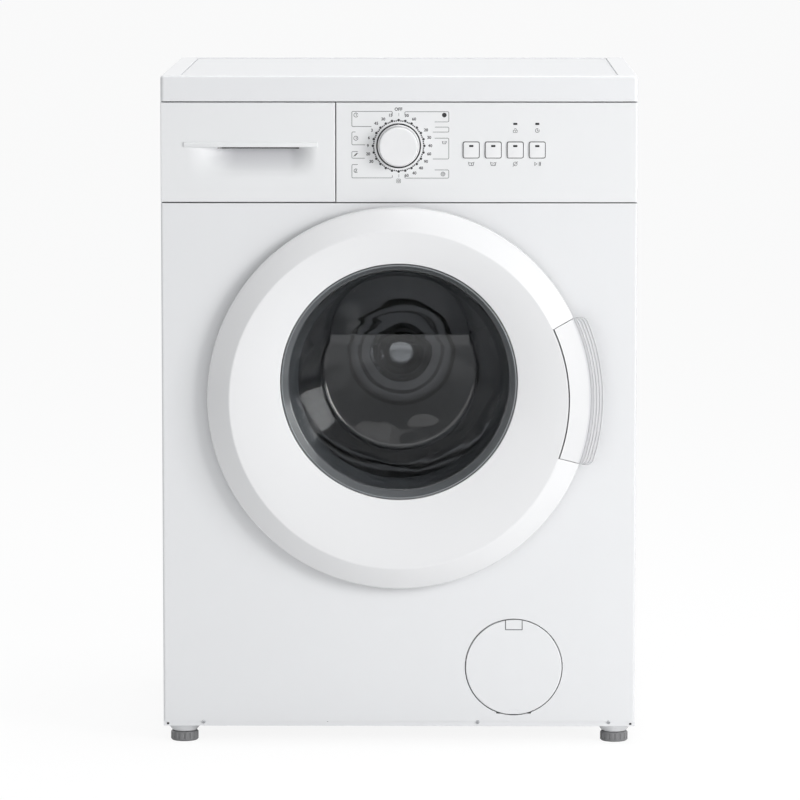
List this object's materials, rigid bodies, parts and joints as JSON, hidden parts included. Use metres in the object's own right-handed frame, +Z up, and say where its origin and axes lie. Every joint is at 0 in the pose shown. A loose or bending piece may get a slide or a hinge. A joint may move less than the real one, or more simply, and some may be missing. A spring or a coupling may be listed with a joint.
{
  "type": "front load washing machine",
  "caption": "Free-standing front load washing machine with a round dished door, glass bowl, sprung tub, belt-driven drum, detergent drawer, programme knob and pump filter cover.",
  "frame": {"origin": "on the floor, under the middle of the overall box", "axes": "+Z up, the door faces -Y, +X to the right of someone who faces the door"},
  "size_m": [0.597, 0.539, 0.845],
  "materials": {
    "enamel_white": "baked white enamel on sheet steel",
    "moulded_white": "satin white moulding",
    "worktop_white": "white moulded frame",
    "board_white": "white laminate on chipboard",
    "door_white": "glossy white moulding",
    "bezel_grey": "satin grey moulding",
    "bowl_glass": "pressed clear glass",
    "gasket_grey": "moulded grey rubber",
    "hose_black": "black rubber",
    "tub_plastic": "filled polypropylene",
    "drum_steel": "stainless sheet",
    "zinc_steel": "zinc plated steel",
    "cast_alloy": "die cast, as cast",
    "concrete": "cast concrete",
    "lifter_grey": "satin moulding",
    "motor_steel": "painted laminations and caps",
    "board_green": "circuit board",
    "foot_grey": "grey moulding",
    "knob_white": "glossy white moulding",
    "button_white": "satin white moulding",
    "inner_grey": "grey moulding"
  },
  "bodies": {
    "cabinet": {"side_panel_left": "enamel_white", "side_panel_right": "enamel_white", "front_panel": "enamel_white", "back_panel": "zinc_steel", "back_cover": "zinc_steel", "transit_caps": "inner_grey", "front_cross_rail": "zinc_steel", "rear_cross_rail": "zinc_steel", "base_tray": "moulded_white", "foot_nuts": "zinc_steel", "worktop_frame": "worktop_white", "worktop_board": "board_white", "control_fascia": "moulded_white", "control_board": "board_green", "dispenser_housing": "inner_grey", "inlet_valve": "inner_grey", "water_hoses": "hose_black", "door_lock": "inner_grey", "hinge_bracket": "zinc_steel", "drain_pump": "inner_grey", "damper_cylinders": "zinc_steel", "door_gasket": "gasket_grey", "suspension_springs": "zinc_steel", "tub_hoses": "hose_black"},
    "tub": {"tub_front": "tub_plastic", "tub_rear": "tub_plastic", "gasket_clamp": "zinc_steel", "counterweight_front": "concrete", "counterweight_top": "concrete", "heater": "drum_steel", "motor": "motor_steel", "shaft_bearings": "zinc_steel", "drive_belt": "hose_black", "damper_rods": "inner_grey"},
    "drum": {"drum_shell": "drum_steel", "drum_lifters": "lifter_grey", "drum_spider": "cast_alloy", "drum_pulley": "cast_alloy"},
    "motor_drive": {"motor_pulley": "zinc_steel"},
    "door": {"door_outer_frame": "door_white", "door_inner_frame": "moulded_white", "door_glass": "bowl_glass", "door_bezel": "bezel_grey", "door_pins": "zinc_steel"},
    "handle": {"door_handle": "door_white"},
    "drawer": {"drawer_front": "moulded_white", "detergent_tray": "inner_grey", "siphon_cap": "inner_grey"},
    "knob": {"programme_knob": "knob_white"},
    "filter_door": {"filter_cover": "moulded_white"},
    "filter": {"pump_filter": "inner_grey"},
    "push_button_1": {"button_1": "button_white"},
    "push_button_2": {"button_2": "button_white"},
    "push_button_3": {"button_3": "button_white"},
    "push_button_4": {"button_4": "button_white"},
    "levelling_foot_front_left": {"foot_front_left": "foot_grey"},
    "levelling_foot_front_right": {"foot_front_right": "foot_grey"},
    "levelling_foot_rear_left": {"foot_rear_left": "foot_grey"},
    "levelling_foot_rear_right": {"foot_rear_right": "foot_grey"}
  },
  "joints": [
    {"name": "tub_bounce", "type": "slide", "parent": "cabinet", "child": "tub", "axis": [0, 0, 1], "range_m": [-0.01, 0.01], "stiffness_N_per_m": 25000, "springref_m": 0.01194, "deforming": ["door_gasket", "suspension_springs", "tub_hoses"]},
    {"name": "drum_spin", "type": "hinge", "parent": "tub", "child": "drum", "pos_m": [0, 0.1105, 0.4634], "axis": [0, 1, 0], "continuous": true},
    {"name": "motor_spin", "type": "hinge", "parent": "tub", "child": "motor_drive", "pos_m": [0.06, 0.1725, 0.15], "axis": [0, 1, 0], "continuous": true},
    {"name": "door_swing", "type": "hinge", "parent": "cabinet", "child": "door", "pos_m": [-0.231, -0.2405, 0.441], "axis": [0, 0, -1], "range_deg": [0, 115]},
    {"name": "handle_pull", "type": "hinge", "parent": "door", "child": "handle", "pos_m": [0.205, -0.2615, 0.45], "axis": [0, 0, -1], "range_deg": [0, 12], "stiffness_Nm_per_rad": 0.8, "springref_deg": -11.46},
    {"name": "drawer_slide", "type": "slide", "parent": "cabinet", "child": "drawer", "axis": [0, -1, 0], "range_m": [0, 0.2]},
    {"name": "knob_turn", "type": "hinge", "parent": "cabinet", "child": "knob", "pos_m": [-0.0006, -0.2275, 0.7575], "axis": [0, 1, 0], "continuous": true},
    {"name": "filter_cover_drop", "type": "hinge", "parent": "cabinet", "child": "filter_door", "pos_m": [0.145, -0.2275, 0.0398], "axis": [1, 0, 0], "range_deg": [0, 90]},
    {"name": "filter_turn", "type": "hinge", "parent": "cabinet", "child": "filter", "pos_m": [0.145, -0.2075, 0.0975], "axis": [0, -1, 0], "range_deg": [0, 180]},
    {"name": "button_1_press", "type": "slide", "parent": "cabinet", "child": "push_button_1", "axis": [0, 1, 0], "range_m": [0, 0.0012], "stiffness_N_per_m": 900, "springref_m": -0.0005},
    {"name": "button_2_press", "type": "slide", "parent": "cabinet", "child": "push_button_2", "axis": [0, 1, 0], "range_m": [0, 0.0012], "stiffness_N_per_m": 900, "springref_m": -0.0005},
    {"name": "button_3_press", "type": "slide", "parent": "cabinet", "child": "push_button_3", "axis": [0, 1, 0], "range_m": [0, 0.0012], "stiffness_N_per_m": 900, "springref_m": -0.0005},
    {"name": "button_4_press", "type": "slide", "parent": "cabinet", "child": "push_button_4", "axis": [0, 1, 0], "range_m": [0, 0.0012], "stiffness_N_per_m": 900, "springref_m": -0.0005},
    {"name": "foot_front_left_screw", "type": "slide", "parent": "cabinet", "child": "levelling_foot_front_left", "axis": [0, 0, -1], "range_m": [0, 0.015]},
    {"name": "foot_front_right_screw", "type": "slide", "parent": "cabinet", "child": "levelling_foot_front_right", "axis": [0, 0, -1], "range_m": [0, 0.015]},
    {"name": "foot_rear_left_screw", "type": "slide", "parent": "cabinet", "child": "levelling_foot_rear_left", "axis": [0, 0, -1], "range_m": [0, 0.015]},
    {"name": "foot_rear_right_screw", "type": "slide", "parent": "cabinet", "child": "levelling_foot_rear_right", "axis": [0, 0, -1], "range_m": [0, 0.015]}
  ],
  "couplings": [
    {"joint": "motor_spin", "follows": "drum_spin", "ratio": 14}
  ]
}
